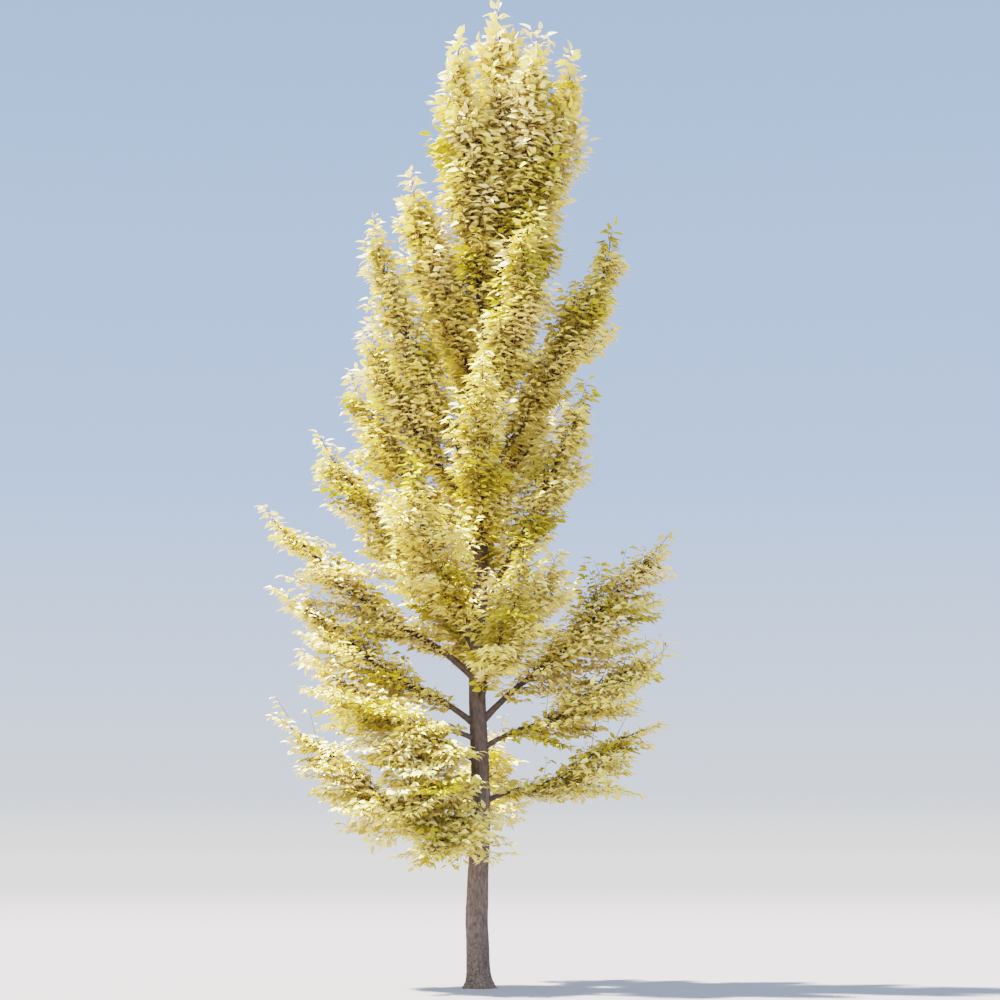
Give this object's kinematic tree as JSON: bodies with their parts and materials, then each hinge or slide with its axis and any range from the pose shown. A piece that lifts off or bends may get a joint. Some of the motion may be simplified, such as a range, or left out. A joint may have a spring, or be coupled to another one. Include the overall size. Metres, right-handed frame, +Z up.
{
  "type": "ginkgo tree",
  "caption": "Young upright ginkgo tree in pale gold autumn leaf: bare lower trunk with a root flare, ascending boughs and separate masses of leafy twigs.",
  "frame": {"origin": "centre of the trunk's flat cut at ground level", "axes": "+Z up along the trunk, +X to the right of the tree as pictured, +Y away from the viewer"},
  "size_m": [3.4375, 2.792, 7.991],
  "materials": {
    "bark": "rough, furrowed",
    "leaves": "soft, thin, matt"
  },
  "bodies": {
    "root": {"bough_back_low": "bark", "bough_back_mid": "bark", "bough_front_left": "bark", "bough_front_left_low": "bark", "bough_front_left_mid": "bark", "bough_front_right": "bark", "bough_left_arm": "bark", "bough_left_back_low": "bark", "bough_left_back_wing": "bark", "bough_left_front_low": "bark", "bough_left_hanging": "bark", "bough_left_long": "bark", "bough_left_low": "bark", "bough_left_mid": "bark", "bough_left_spreading": "bark", "bough_left_wing": "bark", "bough_right_arm": "bark", "bough_right_back_mid": "bark", "bough_right_low": "bark", "bough_right_mid": "bark", "bough_right_rising": "bark", "bough_right_wing": "bark", "foliage_back_high": "leaves", "foliage_back_leader": "leaves", "foliage_back_left_high": "leaves", "foliage_back_low": "leaves", "foliage_back_mid": "leaves", "foliage_front_high": "leaves", "foliage_front_leader": "leaves", "foliage_front_left": "leaves", "foliage_front_left_low": "leaves", "foliage_front_left_mid": "leaves", "foliage_front_right": "leaves", "foliage_front_right_high": "leaves", "foliage_left_arm": "leaves", "foliage_left_back_low": "leaves", "foliage_left_back_mid": "leaves", "foliage_left_back_wing": "leaves", "foliage_left_front_low": "leaves", "foliage_left_hanging": "leaves", "foliage_left_inner": "leaves", "foliage_left_leader": "leaves", "foliage_left_long": "leaves", "foliage_left_low": "leaves", "foliage_left_mid": "leaves", "foliage_left_spreading": "leaves", "foliage_left_upper": "leaves", "foliage_left_wing": "leaves", "foliage_right_arm": "leaves", "foliage_right_back": "leaves", "foliage_right_back_mid": "leaves", "foliage_right_high": "leaves", "foliage_right_leader": "leaves", "foliage_right_low": "leaves", "foliage_right_mid": "leaves", "foliage_right_rising": "leaves", "foliage_right_wing": "leaves", "foliage_top": "leaves", "trunk": "bark"}
  },
  "joints": []
}
